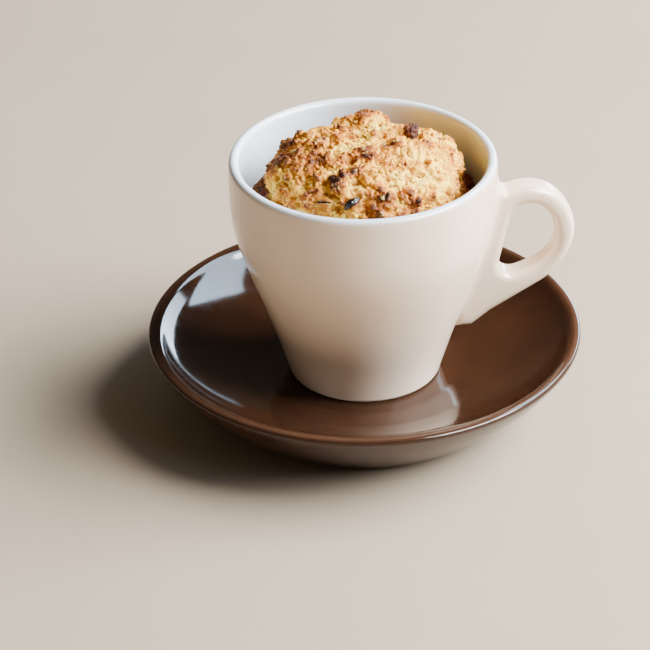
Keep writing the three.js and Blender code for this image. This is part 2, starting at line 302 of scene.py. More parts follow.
def ramp(tree, value, stops):
    made = node(tree, "ShaderNodeValToRGB", {"Fac": value})
    elements = made.color_ramp.elements
    while len(elements) < len(stops):
        elements.new(0.5)
    for element, (position, colour) in zip(elements, stops):
        element.position = position
        element.color = colour
    return made.outputs["Color"]


def bump(tree, shader, height, depth, strength):
    sockets = {"Height": height, "Distance": depth * MM, "Strength": strength}
    tree.links.new(node(tree, "ShaderNodeBump", sockets).outputs["Normal"], shader.inputs["Normal"])


def saucer_glaze():
    """Dark chocolate glaze, glossy, a little lighter where it thins out and with faint specks."""
    made, tree, shader = new_material("saucer_glaze")
    cloud = ranged(tree, grain(tree, 14, 3), 0.35, 0.65, 0, 1)
    tone = mixed(tree, cloud, paint(42, 24, 14), paint(50, 29, 17))
    specks = ranged(tree, grain(tree, 0.5, 1), 0.68, 0.76, 0, 0.35)
    tone = mixed(tree, specks, tone, paint(32, 19, 13))
    tone = mixed(tree, attribute(tree, "thin"), tone, paint(82, 57, 43))
    rough = ranged(tree, grain(tree, 5, 2), 0.3, 0.7, 0.07, 0.13)
    wire(tree, shader, {
        "Base Color": tone, "Roughness": rough, "Specular IOR Level": 0.25, "Coat Weight": 0.1,
        "Coat Roughness": 0.05,
    })
    bump(tree, shader, grain(tree, 6, 1), 0.05, 0.25)
    return made


def cup_glaze():
    """Cream glaze outside, white glaze on the rim and inside."""
    made, tree, shader = new_material("cup_glaze")
    cloud = ranged(tree, grain(tree, 22, 3), 0.35, 0.65, 0, 1)
    cream = mixed(tree, cloud, paint(238, 215, 190), paint(242, 221, 199))
    specks = ranged(tree, grain(tree, 0.7, 1), 0.72, 0.8, 0, 0.12)
    cream = mixed(tree, specks, cream, paint(196, 170, 148))
    white = mixed(tree, cloud, paint(222, 235, 249), paint(229, 240, 251))
    tone = mixed(tree, attribute(tree, "white"), cream, white)
    rough = ranged(tree, grain(tree, 8, 2), 0.3, 0.7, 0.16, 0.24)
    wire(tree, shader, {"Base Color": tone, "Roughness": rough, "Coat Weight": 0.25, "Coat Roughness": 0.08})
    bump(tree, shader, grain(tree, 7, 1), 0.04, 0.2)
    return made


def baked_crumb():
    """Golden crumb, pale where it is torn, browned on its crags and dark in its burnt places, with painted
    shade in its clefts and low down by the cup's wall.
    """
    made, tree, shader = new_material("baked_crumb")
    fine = ranged(tree, grain(tree, 1.1, 4, 0.65), 0.3, 0.7, -0.13, 0.13)
    toast = maths(tree, "ADD", attribute(tree, "baked"), fine)
    tone = ramp(tree, toast, [
        (0.0, paint(250, 218, 96)),
        (0.25, paint(246, 196, 66)),
        (0.45, paint(227, 158, 42)),
        (0.62, paint(184, 109, 30)),
        (0.8, paint(118, 61, 26)),
        (1.0, paint(50, 26, 17)),
    ])
    cream = ranged(tree, grain(tree, 1.7, 3), 0.6, 0.7, 0, 0.55)
    tone = mixed(tree, cream, tone, paint(251, 226, 122))
    # Painted shade: clefts are darkened by multiplying in a brown.
    tone = mixed(tree, attribute(tree, "cleft_shade"), tone, paint(158, 92, 36), "MULTIPLY")
    # Painted shade: the crust low down in the gap by the wall is darkened by multiplying in a dusky brown.
    tone = mixed(tree, attribute(tree, "shade"), tone, paint(104, 74, 62), "MULTIPLY")
    rough = ranged(tree, attribute(tree, "baked"), 0.2, 0.9, 0.85, 0.5)
    wire(tree, shader, {
        "Base Color": tone, "Roughness": rough, "Specular IOR Level": 0.15, "Subsurface Weight": 0.1,
        "Subsurface Radius": (1.0, 0.55, 0.25), "Subsurface Scale": 0.001,
    })
    bump(tree, shader, grain(tree, 0.45, 4, 0.7), 0.25, 0.5)
    return made


def raisin_skin(name, dark, bloom, roughness, coat):
    """Wrinkled skin with a paler bloom in patches, slightly shiny where it has a coat."""
    made, tree, shader = new_material(name)
    patchy = ranged(tree, grain(tree, 1.6, 3), 0.45, 0.75, 0, 0.6)
    tone = mixed(tree, patchy, dark, bloom)
    rough = ranged(tree, grain(tree, 0.8, 2), 0.3, 0.7, roughness, roughness + 0.2)
    wire(tree, shader, {
        "Base Color": tone, "Roughness": rough, "Specular IOR Level": 0.2 + coat, "Coat Weight": coat,
        "Coat Roughness": 0.2,
    })
    bump(tree, shader, grain(tree, 0.5, 3), 0.15, 0.5)
    return made


def floor_paint():
    made, tree, shader = new_material("floor_paint")
    tone = mixed(tree, grain(tree, 60, 3), paint(162, 146, 125), paint(169, 153, 132))
    wire(tree, shader, {"Base Color": tone, "Roughness": 0.7})
    return made


# ---- saucer ----
SAUCER_RECESS = 6.0                     # height of the underside within the foot ring
SAUCER_FOOT = [(39.5, SAUCER_RECESS), (41.8, 4.6), (43.4, 0.0), (46.3, 0.0), (47.3, 0.6)]
SAUCER_UNDERSIDE = [(47.3, 0.6), (56.5, 7.7), (65, 14.6), (70.8, 24.3)]
SAUCER_LIP = [(70.8, 24.3), (71.4, 25.4), (70.4, 26.1), (68.9, 26.1)]
SAUCER_LIP_INSIDE = [(68.9, 26.1), (67.8, 26.1), (67.0, 25.6), (66.3, 24.9)]
SAUCER_DISH = [(66.3, 24.9), (63, 21), (57, 17.2), (42, 13.1)]
SAUCER_WELL = [(33.5, WELL_HEIGHT + 0.35), (31, WELL_HEIGHT), (0, WELL_HEIGHT)]
SAUCER_SEGMENTS = 240
SAUCER_STEP = 0.45
SAUCER_EASING = 3
# The ring on the lip where the glaze thins out: its radius, spread, least height and strength.
THIN_RADIUS = 69.7
THIN_SPREAD = 0.9
THIN_ABOVE = 23
THIN_SHARE = 0.5


def make_saucer():
    path = chained(
        [(0, SAUCER_RECESS)], SAUCER_FOOT, bend(SAUCER_UNDERSIDE), bend(SAUCER_LIP),
        bend(SAUCER_LIP_INSIDE), bend(SAUCER_DISH), SAUCER_WELL,
    )
    path = softened(evened(path, SAUCER_STEP), SAUCER_EASING)
    points, faces, normals = lathe(path, SAUCER_SEGMENTS)
    radius = np.hypot(points[:, 0], points[:, 1])
    crest = np.exp(-((radius - THIN_RADIUS) / THIN_SPREAD) ** 2) * (points[:, 2] > THIN_ABOVE)
    values = {"thin": crest * THIN_SHARE}
    make_piece("saucer_glazed", points, faces, saucer_glaze(), ["saucer"], normals, values)


# ---- cup: a distance field of the turned body and the ear, run together with a fillet ----
CUP_RECESS = 2.0                        # height of the underside within the cup's foot
CUP_FOOT = [(20.6, CUP_RECESS), (21.2, 0.0), (24.0, 0.0), (24.8, 0.6)]
CUP_OUTSIDE = [(25.1, 2.0), (35.99, 39.3), (43, 46.1), (43, 66.1)]
CUP_OUTSIDE_STEPS = 48
CUP_FLOOR_HEIGHT = 7.5
CUP_FLOOR_ROUND = 7.0
FLOOR_ROUND_FROM = -12                  # angle at which the sloping wall runs into the floor's rounding
EAR_OUTLINE = [
    [(30, 13.6), (35, 13.6)],
    [(35, 13.6), (41, 18.3), (57.6, 28)],
    [(57.6, 28), (63.5, 31.4), (68.9, 39.2), (68.9, 46.2)],
    [(68.9, 46.2), (68.9, 58.7), (57.5, 66.7), (47.4, 62.7)],
    [(47.4, 62.7), (45.2, 62.2), (43.6, 63.7), (43, 67.2)],
    [(43, 67.2), (38, 67.2)],
]
FINGER_HOLE = [
    [(44.3, 37.6), (47.4, 51.2)],
    [(47.4, 51.2), (48.4, 55.8), (49.6, 57.3), (52.8, 57.3)],
    [(52.8, 57.3), (58.8, 57.3), (62.8, 51.6), (62.8, 44.5)],
    [(62.8, 44.5), (62.8, 37.3), (56.5, 34), (50, 32.1)],
    [(50, 32.1), (46.5, 31.2), (43.4, 33.8), (44.3, 37.6)],
]
EAR_CLOSING = [(30, 67.2), (30, 13.6)]  # the outline's end towards the cup's axis
EAR_WIDTH = 9.4
EAR_ROUND = 2.8
EAR_FILLET = 3.0
EAR_FROM = 24                           # the ear only counts beyond this X
EAR_NEAR = 16                           # and this near to its own plane
CUP_VOXEL = 0.75
CUP_STEP = 0.5
CUP_EASING = 2
# Fitting the even mesh to the field: rounds with evening, last rounds, largest step and share evened.
FIT_ROUNDS = 5
LAST_ROUNDS = 2
LARGEST_STEP = 0.6
EVENED_SHARE = 0.6
WHITE_ENDS = (0.5, 1.5)                 # below the rim's top, where the white glaze runs out outside
WHITE_WAVER, WAVER_SIZE, WAVER_SALT = 0.35, 9, 4
HOLLOW_STARTS = CUP_WALL * 0.5          # how deep in the wall the line between outside and inside is


def outer_wall():
    return chained(CUP_FOOT, bend(CUP_OUTSIDE, CUP_OUTSIDE_STEPS), [(CUP_RADIUS, CUP_HEIGHT - CUP_LIP)])


def middle_of_wall(points, wall):
    """The radius that parts the cup's outside from its inside, at the points' heights."""
    return np.interp(points[:, 2], wall[:, 1], wall[:, 0]) - HOLLOW_STARTS


def cup_profile():
    """The body from the axis underneath, round the lip and back to the axis on the floor inside."""
    outside = outer_wall()
    edge = CUP_FLOOR_HEIGHT + CUP_FLOOR_ROUND
    inside = outside[outside[:, 1] > edge] - (CUP_WALL, 0)
    floor_edge = (inside[0, 0] - CUP_FLOOR_ROUND, edge)
    lip = arc((CUP_RADIUS - CUP_LIP, CUP_HEIGHT - CUP_LIP), CUP_LIP, 0, 180)
    floor_round = arc(floor_edge, CUP_FLOOR_ROUND, FLOOR_ROUND_FROM, -90)
    path = chained([(0, CUP_RECESS)], outside, lip, inside[::-1], floor_round, [(0, CUP_FLOOR_HEIGHT)])
    return softened(evened(path, CUP_STEP), CUP_EASING)


def path_field(path, points):
    """Distance from points to a path, less than 0 within it, and the path's own outward normal there."""
    normals = side_normals(path)
    best = np.full(len(points), 1e9)
    outward = np.zeros_like(points)
    within = np.zeros(len(points), bool)
    x, y = points.T
    for n in range(len(path) - 1):
        start, run = path[n], path[n + 1] - path[n]
        along = np.clip(((points - start) @ run) / (run @ run), 0, 1)
        away = ((points - start - along[:, None] * run) ** 2).sum(1)
        closer = away < best
        best = np.where(closer, away, best)
        blended = lerp(normals[n], normals[n + 1], along[:, None])
        outward = np.where(closer[:, None], blended, outward)
        if run[1] != 0:
            crossed = (start[1] > y) != (path[n + 1, 1] > y)
            within ^= crossed & (x < start[0] + run[0] * (y - start[1]) / run[1])
    return np.where(within, -1, 1) * np.sqrt(best), unit(outward)


def ear_path(stretches):
    """A path from curves, given by four points each, and straight stretches."""
    return evened(chained(*(bend(one) if len(one) == 4 else one for one in stretches)), CUP_STEP)


def ear_field(points):
    """The ear as a rounded slab: its outline and hole in the plane of radius and height, and its width."""
    outline, hole = ear_path(EAR_OUTLINE), ear_path(FINGER_HOLE)
    flat = points[:, [0, 2]]
    rim, rim_out = path_field(np.concatenate([outline, EAR_CLOSING]), flat)
    bore, bore_out = path_field(hole, flat)
    in_plane = np.maximum(rim, -bore)
    way = np.where((rim > -bore)[:, None], rim_out, bore_out)
    side = np.abs(points[:, 1]) - EAR_WIDTH / 2
    a, b = np.maximum(in_plane + EAR_ROUND, 0), np.maximum(side + EAR_ROUND, 0)
    corner = np.hypot(a, b)
    inner = np.minimum(np.maximum(in_plane, side) + EAR_ROUND, 0)
    flat_share, side_share = a / np.maximum(corner, 1e-9), b / np.maximum(corner, 1e-9)
    sunk = corner < 1e-9
    flat_share = np.where(sunk, in_plane > side, flat_share)
    side_share = np.where(sunk, in_plane <= side, side_share)
    across = np.sign(points[:, 1]) * side_share
    gradient = np.stack([way[:, 0] * flat_share, across, way[:, 1] * flat_share], 1)
    return corner + inner - EAR_ROUND, gradient


def cup_field(points, profile, wall):
    """Distance and outward direction of the whole cup at points in its own heights."""
    radius = np.hypot(points[:, 0], points[:, 1])
    body, way = path_field(profile, np.stack([radius, points[:, 2]], 1))
    turn = points[:, :2] / np.maximum(radius, 1e-9)[:, None]
    gradient = np.concatenate([turn * way[:, :1], way[:, 1:]], 1)
    near = (points[:, 0] > EAR_FROM) & (np.abs(points[:, 1]) < EAR_NEAR)
    near &= radius > middle_of_wall(points, wall)
    ear, ear_gradient = ear_field(points[near])
    share = np.clip(0.5 + 0.5 * (body[near] - ear) / EAR_FILLET, 0, 1)
    body[near] = lerp(body[near], ear, share) - EAR_FILLET * share * (1 - share)
    gradient[near] = unit(lerp(gradient[near], ear_gradient, share[:, None]))
    return body, gradient


def remeshed(source, voxel):
    """Even quads over a solid, as points in millimetres and faces."""
    copy = bpy.data.objects.new("remesh_source", source.data.copy())
    bpy.context.scene.collection.objects.link(copy)
    modifier = copy.modifiers.new("even", "REMESH")
    modifier.mode = "VOXEL"
    modifier.voxel_size = voxel * MM
    shape = copy.evaluated_get(bpy.context.evaluated_depsgraph_get()).to_mesh()
    points = np.empty(len(shape.vertices) * 3)
    shape.vertices.foreach_get("co", points)
    faces = np.empty(len(shape.loops), int)
    shape.loops.foreach_get("vertex_index", faces)
    bpy.data.objects.remove(copy)
    return points.reshape(-1, 3) / MM, faces.reshape(-1, 4)


def onto_cup(points, profile, wall):
    """The points moved towards the cup's true surface, and which way is out there."""
    distance, outward = cup_field(points, profile, wall)
    return points - np.clip(distance, -LARGEST_STEP, LARGEST_STEP)[:, None] * outward, outward


def make_cup():
    points, faces = remeshed(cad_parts["cup"], CUP_VOXEL)
    points[:, 2] -= WELL_HEIGHT
    profile, wall = cup_profile(), outer_wall()
    edges = np.concatenate([faces[:, [n, (n + 1) % 4]] for n in range(4)])
    count = np.bincount(edges[:, 0], minlength=len(points))[:, None]
    for _ in range(FIT_ROUNDS):
        points, outward = onto_cup(points, profile, wall)
        around = np.zeros_like(points)
        np.add.at(around, edges[:, 0], points[edges[:, 1]])
        shift = (around / count - points) * EVENED_SHARE
        points += shift - (shift * outward).sum(1)[:, None] * outward
    for _ in range(LAST_ROUNDS):
        points, outward = onto_cup(points, profile, wall)
    below = CUP_HEIGHT - points[:, 2]
    waver = WHITE_WAVER * (fog(points, WAVER_SIZE, WAVER_SALT) - 0.5)
    runs_out = 1 - smoothstep(below + waver, *WHITE_ENDS)
    radius = np.hypot(points[:, 0], points[:, 1])
    inside = (radius < middle_of_wall(points, wall)) & (points[:, 2] > CUP_FLOOR_HEIGHT - 1)
    values = {"white": np.where(inside, 1, runs_out)}
    points[:, 2] += WELL_HEIGHT
    make_piece("cup_glazed", points, faces, cup_glaze(), ["cup"], outward, values)


# ---- pudding: heights from the cup's rim, the same smooth form and lumps as the solid ----
WALL_GAP = 0.36
FLOOR_GAP = 0.3
DOME_RADIUS = 31.3
DOME_BASE = -7.6
DOME_RISE = 13.1
DOME_FULLNESS = 2.4
DOME_OFFSET = (0.75, -0.8)
LOAF_TOP = -21.0
PUDDING_CENTRE = -9.1
LUMP_SIZE, LUMP_DEPTH, LUMP_SALT = 7.0, 3.2, 1
CRUMB_SIZE, CRUMB_DEPTH, CRUMB_SALT = 3.4, 1.4, 7
MEAN_DISTANCE = 0.53                    # from the nearest scattered centre, in cells
CRUST_FADES = (-20, -11)                # heights between which the lumps die out down the side
CRUMB_FADES = (-21, -16)                # the same for the finer crags, which show further down
# The finer crags: size, depth and salt of each kind.
CHUNK_SIZE, CHUNK_DEPTH, CHUNK_SALT = 4.6, 1.7, 11
NUB_SIZE, NUB_DEPTH, NUB_SALT = 2.3, 0.6, 17
GRIT_SIZE, GRIT_DEPTH, GRIT_SALT = 1.0, 0.45, 23
PIT_SIZE, PIT_DEPTH, PIT_SALT = 3.1, 1.3, 41
PIT_EDGE = (0.68, 0.86)                 # values of the fog at a pit's rim and at its floor
CRACK_DEPTH = 0.7
CHUNK_EDGE = (0.02, 0.3)                # in cells, how wide a chunk's edge and a crack are
CRACK_EDGE = (0.0, 0.14)
NUB_SMOOTHED = 1.2                      # how much of the nubs' depth goes where it is fine-grained
# Stirring makes their edges ragged: its size and salts, and how far chunks, grit and crust are moved.
STIR_SIZE, STIR_SALTS = 1.9, (31, 32, 33)
STIRRED_CHUNKS, STIRRED_GRIT, STIRRED_CRUST = 1.3, 0.5, 0.5
# Broad swells: direction, distance from the cup's axis, spread and height.
SWELLS = [
    (71, 19.5, 5, 4.6), (54, 21.5, 3.5, -2.6), (50, 25, 8, -2.3), (112, 26, 7, -1.0), (16, 29, 7, 1.4),
    (-10, 31, 6, -1.5), (-140, 33, 7, 1.6), (-100, 24, 9, 0.8), (-150, 22, 6, -0.9), (-50, 19, 7, 0.8),
]
# Name, direction, distance from the cup's axis, half sizes, how far it stands proud, turn.
RAISINS = [
    ("raisin_front", -105, 29.3, (2.9, 1.6, 1.7), -0.5, 24),
    ("raisin_left", -123, 29.7, (2.8, 1.6, 1.6), -1.0, -25),
    ("raisin_top", 19, 17.3, (3.1, 2.8, 2.4), 0.7, 70),
]
# Where the crust is browner or, below 0, paler: direction, distance, spread and by how much.
SCORCHES_AND_PAINTED_LIGHT = [
    (162, 25, 4.6, 0.46), (176, 26.5, 4.4, 0.34), (140, 24, 2.2, 0.3), (-150, 16.5, 3.2, 0.26),
    (-167, 18, 2.0, 0.26), (-149, 22, 2.0, 0.3), (-136, 28, 2.2, 0.3), (-125, 25.5, 3.6, 0.2),
    (-106, 18.5, 2.8, 0.42), (-124, 11, 2.6, 0.24), (-115, 27, 1.7, 0.2), (-97, 29.5, 2.8, 0.22),
    (-87, 31, 4.2, 0.26), (-30, 8.5, 3.2, 0.42), (-87, 9, 3.2, 0.3), (15, 27, 1.7, 0.6),
    (18, 17, 4.0, 0.3), (-54, 20, 2.8, 0.2), (-69, 28.5, 2.8, 0.2), (-70, 32, 4.5, 0.2),
    (-54, 32, 3.6, 0.16), (-8, 29.5, 2.8, 0.22), (-4, 22, 2.2, 0.12), (71, 20, 2.6, 0.34),
    (104, 18, 4.0, 0.18), (117, 5, 2.6, 0.22), (-158, 28.5, 1.9, 0.34), (163, 12, 2.4, 0.2),
    (-128, 32, 4.6, 0.18), (170, 33, 4.0, 0.2), (120, 28, 4.0, 0.2), (60, 28, 3.0, 0.2),
    # The wide rows at -175, -38 and -49 are partly the crust's own colour and partly painted light: browner
    # over the left half, where less light falls, and paler at the right front, where most falls.
    (-175, 20, 15.0, 0.1), (-115, 30, 9.0, 0.06),
    (-38, 24, 8.0, -0.26), (-49, 29, 6.0, -0.14), (61, 12, 4.2, -0.18), (75, 5, 3.2, -0.16),
    (-129, 20, 2.8, -0.2), (-160, 10, 2.4, -0.16), (-103, 24, 2.2, -0.3), (-55, 15.5, 3.2, -0.18),
    (-73, 23, 4.6, -0.14), (-168, 31, 3.4, -0.14), (-3, 26, 4.0, -0.16),
]
# Where it is fine-grained: direction, distance, spread and by how much.
SMOOTH_SPOTS = [(-38, 25, 9, 0.3), (-5, 27, 6, 0.2), (-70, 23, 5, 0.12)]
PUDDING_FREQUENCY = 94
POLAR_STEPS = 1441
HALVINGS = 30                           # rounds of closing in on the form's reach
# How far the crust lies open along and across each raisin, in its half sizes.
RAISIN_OPENINGS = {"raisin_front": (0.95, 0.55), "raisin_left": (0.8, 0.16), "raisin_top": (1.15, 1.15)}
# How lumpy each one is.
RAISIN_LUMPS = {"raisin_front": 0.1, "raisin_left": 0.1, "raisin_top": 0.5}
RAISIN_BED = -0.35                      # level of the crust in an opening, in the raisin's half height
OPENING_SLOPE = 1.5                     # how steeply the crust rises round an opening
RAISIN_LID = 0.25                       # how thick the crust is over a raisin beside its opening
LID_REACH = 1.12                        # how far that lid goes, in the raisin's half sizes
LID_STARTS = (1.0, 1.6)                 # where it rises beside the opening, in the opening's half sizes
SHADY_BELOW = (-6, -11)                 # heights where painted shade darkens the crust, down in the gap by the wall
HIDDEN_SHARE = 0.05                     # density of the mesh where the cup hides it
HIDDEN_FADES = (LOAF_TOP - 3, DOME_BASE - 4)     # heights between which it gets denser
# How brown it is: everywhere, in patches of a size, amount and salt, and on whatever stands out.
BAKED_BASE = 0.35
BAKED_PATCHES = [(7.5, 0.36, 51), (3.6, 0.36, 52)]
LUMP_BAKED, CRUMB_BAKED, CHUNK_BAKED, NARROW_BAKED, WIDE_BAKED = 0.45, 0.3, 0.25, 0.18, 0.12
# What stands out or lies sunk is told from the crust eased by few or many rounds. Clefts get painted
# shade, told by how deep it starts and is full, and by how much it darkens.
NARROW_EASING, WIDE_EASING = 8, 60
NARROW_MOST = 0.3
NARROW_CLEFT, NARROW_DARKENS = (0.02, 0.28), 0.45
WIDE_CLEFT, WIDE_DARKENS = (0.1, 0.9), 0.4


def room_at(height):
    """The widest that the pudding may be inside the cup."""
    wall = outer_wall()
    floor = CUP_FLOOR_HEIGHT - CUP_HEIGHT + FLOOR_GAP
    low = np.clip((CUP_FLOOR_ROUND - (height - floor)) / CUP_FLOOR_ROUND, 0, 1)
    tuck = CUP_FLOOR_ROUND * (1 - np.sqrt(1 - low * low))
    reach = np.interp(height + CUP_HEIGHT, wall[:, 1], wall[:, 0]) - CUP_WALL - WALL_GAP - tuck
    return np.where(height < floor, -1.0, reach)


def form_radius(height):
    """Radius of the smooth form: the loaf that fills the cup and, above it, the dome."""
    drawn_in = smoothstep(height, LOAF_TOP, DOME_BASE)
    loaf = lerp(room_at(height), DOME_RADIUS, drawn_in)
    up = np.clip((height - DOME_BASE) / DOME_RISE, 0, 1)
    dome = DOME_RADIUS * (1 - up ** DOME_FULLNESS) ** (1 / DOME_FULLNESS)
    return np.where(height < DOME_BASE, loaf, dome)


def form_reach(polar):
    """How far from the pudding's centre its smooth form reaches, by the angle from straight up."""
    near, far = np.zeros_like(polar), np.full_like(polar, CUP_HEIGHT)
    for _ in range(HALVINGS):
        middle = (near + far) / 2
        within = middle * np.sin(polar) < form_radius(PUDDING_CENTRE + middle * np.cos(polar))
        near, far = np.where(within, middle, near), np.where(within, far, middle)
    return near


def by_place(points, places):
    """Sum of round soft patches, each given by direction, distance, spread and amount."""
    total = np.zeros(len(points))
    for turn, out, spread, amount in places:
        dx = points[:, 0] - out * math.cos(turn * RAD)
        dy = points[:, 1] - out * math.sin(turn * RAD)
        total += amount * np.exp(-(dx * dx + dy * dy) / spread ** 2)
    return total


def crust_place(turn, out):
    """A point of the dome's smooth form and which way is out there."""
    x, y = out * math.cos(turn * RAD), out * math.sin(turn * RAD)
    aside = np.array([x, y]) - DOME_OFFSET
    across = math.hypot(*aside) / DOME_RADIUS
    up = (1 - across ** DOME_FULLNESS) ** (1 / DOME_FULLNESS)
    steep = across ** (DOME_FULLNESS - 1) / DOME_RADIUS
    flat = up ** (DOME_FULLNESS - 1) / DOME_RISE
    outward = Vector((*(unit(aside) * steep), flat)).normalized()
    return np.array([x, y, DOME_BASE + DOME_RISE * up]), outward


def raisin_frame(turn, out, proud, spin):
    """Centre of a raisin and its three axes, as rows."""
    point, outward = crust_place(turn, out)
    rise = proud + by_place(point[None], SWELLS)[0]
    turned = Vector((0, 0, 1)).rotation_difference(outward) @ Quaternion((0, 0, 1), spin * RAD)
    return point + np.array(outward) * rise, np.array(turned.to_matrix()).T


def dense_directions():
    """Directions from the pudding's centre that lie evenly over the crust, their polar angles, and faces."""
    directions, faces = geodesic(PUDDING_FREQUENCY)
    polar = np.linspace(0, math.pi, POLAR_STEPS)
    reach = form_reach(polar)
    radius, height = reach * np.sin(polar), PUDDING_CENTRE + reach * np.cos(polar)
    length = np.hypot(np.diff(radius), np.diff(height))
    weight = lerp(HIDDEN_SHARE, 1, smoothstep(height, *HIDDEN_FADES))
    area = length * (radius[1:] + radius[:-1]) * (weight[1:] + weight[:-1])
    share = np.concatenate([[0], np.cumsum(area)]) / area.sum()
    angle = np.interp((1 - directions[:, 2]) / 2, share, polar)
    flat = unit(directions[:, :2])
    level = np.cos(angle)[:, None]
    return np.concatenate([flat * np.sin(angle)[:, None], level], 1), angle, faces


def eased(points, faces, rounds):
    """The points moved towards their neighbours' middle, round after round."""
    ends = np.concatenate([faces[:, [n, (n + 1) % 3]] for n in range(3)])
    count = np.bincount(ends[:, 0], minlength=len(points))
    for _ in range(rounds):
        points = np.stack([
            np.bincount(ends[:, 0], weights=points[ends[:, 1], axis], minlength=len(points)) / count
            for axis in range(3)
        ], 1)
    return points


def pebbles(points, size, salt):
    """Round bumps of uneven height about scattered centres."""
    nearest, _, luck = lumps(points, size, salt)
    return 0.5 - nearest + 0.5 * (luck - 0.5)


def fine_relief(points):
    """How far the finer crags stand out, the chunks among them alone, and the stir that moves them aside."""
    stir = np.stack([fog(points, STIR_SIZE, salt) for salt in STIR_SALTS], 1) - 0.5
    stirred = points + STIRRED_CHUNKS * stir
    nearest, second, luck = lumps(stirred, CHUNK_SIZE, CHUNK_SALT)
    chunk = (luck - 0.5) * smoothstep(second - nearest, *CHUNK_EDGE)
    crack = 1 - smoothstep(second - nearest, *CRACK_EDGE)
    nub = pebbles(stirred, NUB_SIZE, NUB_SALT)
    grit = pebbles(points + STIRRED_GRIT * stir, GRIT_SIZE, GRIT_SALT)
    pit = smoothstep(fog(points, PIT_SIZE, PIT_SALT), *PIT_EDGE)
    nub_depth = NUB_DEPTH - NUB_SMOOTHED * by_place(points, SMOOTH_SPOTS)
    relief = CHUNK_DEPTH * chunk - CRACK_DEPTH * crack + nub_depth * nub
    return relief + GRIT_DEPTH * grit - PIT_DEPTH * pit, chunk, stir


def opened_for_raisins(points):
    """The crust sunk where it lies open over each raisin, and lifted over the rest of the raisin."""
    for name, turn, out, half, proud, spin in RAISINS:
        centre, axes = raisin_frame(turn, out, proud, spin)
        local = (points - centre) @ axes.T
        along, across = RAISIN_OPENINGS[name]
        away = np.hypot(local[:, 0] / (half[0] * along), local[:, 1] / (half[1] * across))
        most = half[2] * (RAISIN_BED + OPENING_SLOPE * np.maximum(away - 1, 0))
        sunk = np.maximum(local[:, 2] - most, 0) * (local[:, 2] > -3 * half[2])
        points = points - np.outer(sunk, axes[2])
        local = (points - centre) @ axes.T
        spot = np.hypot(local[:, 0] / half[0], local[:, 1] / half[1])
        lid = half[2] * np.sqrt(np.maximum(1 - (spot / LID_REACH) ** 2, 0)) + RAISIN_LID
        lifted = np.maximum(lid - local[:, 2], 0) * (local[:, 2] > -half[2]) * (spot < LID_REACH)
        lifted = lifted * smoothstep(away, *LID_STARTS) * (1 - smoothstep(spot, 1.0, LID_REACH))
        points = points + np.outer(lifted, axes[2])
    return points


def kept_in_cup(points):
    """The points drawn in so that none is nearer the cup's wall than its gap."""
    radius = np.hypot(points[:, 0], points[:, 1])
    most = room_at(points[:, 2])
    squeezed = np.where((radius > most) & (most > 0), most / np.maximum(radius, 1e-9), 1)
    return points * np.stack([squeezed, squeezed, np.ones_like(squeezed)], 1)


def pudding_surface():
    """The crust's points and faces, and at each point how baked it is, its painted shade in clefts and by
    the wall, and how open to the air.
    """
    directions, angle, faces = dense_directions()
    points = directions * form_reach(angle)[:, None] + (0, 0, PUDDING_CENTRE)
    points[:, :2] += smoothstep(points[:, 2], LOAF_TOP, DOME_BASE)[:, None] * DOME_OFFSET
    opened = smoothstep(points[:, 2], *CRUST_FADES)
    rough = smoothstep(points[:, 2], *CRUMB_FADES)[:, None]
    lump = MEAN_DISTANCE - lumps(points, LUMP_SIZE, LUMP_SALT)[0]
    crumb = MEAN_DISTANCE - lumps(points, CRUMB_SIZE, CRUMB_SALT)[0]
    depth = LUMP_DEPTH * lump + CRUMB_DEPTH * crumb + by_place(points, SWELLS)
    points += directions * (depth * opened)[:, None]
    relief, chunk, stir = fine_relief(points)
    points += vertex_normals(points, faces) * (relief[:, None] * rough) + STIRRED_CRUST * stir * rough
    points = kept_in_cup(opened_for_raisins(points))

    normals = vertex_normals(points, faces)
    narrow = ((points - eased(points, faces, NARROW_EASING)) * normals).sum(1)
    wide = ((points - eased(points, faces, WIDE_EASING)) * normals).sum(1)
    patches = sum(amount * (fog(points, size, salt) - 0.5) for size, amount, salt in BAKED_PATCHES)
    tips = LUMP_BAKED * lump + CRUMB_BAKED * crumb + CHUNK_BAKED * chunk
    tips = tips + NARROW_BAKED * np.clip(narrow, -NARROW_MOST, NARROW_MOST) + WIDE_BAKED * wide
    # The browning also carries some painted shade and painted light from the wide patches by place.
    baked = BAKED_BASE + patches + tips + by_place(points, SCORCHES_AND_PAINTED_LIGHT)
    # Painted shade in the clefts, narrow and wide.
    cleft_shade = smoothstep(-narrow, *NARROW_CLEFT) * NARROW_DARKENS
    cleft_shade = cleft_shade + smoothstep(-wide, *WIDE_CLEFT) * WIDE_DARKENS
    # Painted shade low down in the gap by the wall.
    shade = smoothstep(points[:, 2], *SHADY_BELOW)
    return points, faces, np.clip(baked, 0, 1), np.clip(cleft_shade, 0, 1), shade, opened


CRUMB_COUNT = 1400
CRUMB_SHAPES = 24
CRUMB_FREQUENCY = 2
CRUMB_BUMPS, CRUMB_BUMP_SIZE, CRUMB_BUMP_SALT = 0.35, 1.1, 61
CRUMB_CUT = 0.55                        # how far from a crumb's middle its flat sides are
CRUMB_HALF_SIZES = (0.3, 0.95)
CRUMB_SMALLNESS = 2.2                   # the higher it is, the more of them are small
CRUMB_WIDTHS = (0.6, 1)                 # second and third half sizes, as shares of the first
CRUMB_HEIGHTS = (0.4, 0.8)
CRUMB_PROUD = 0.3                       # how far at most a crumb's middle is off the crust, in half sizes
CRUMB_TINT = 0.1                        # spread of how much browner or paler than the crust it is
CRUMB_OPENED = 0.9                      # they lie only where the crust is this open to the air,
CRUMB_FACING = -0.3                     # where it doesn't face further down than this,
CRUMB_CLEARANCE = 3.4                   # and this far from a raisin's centre


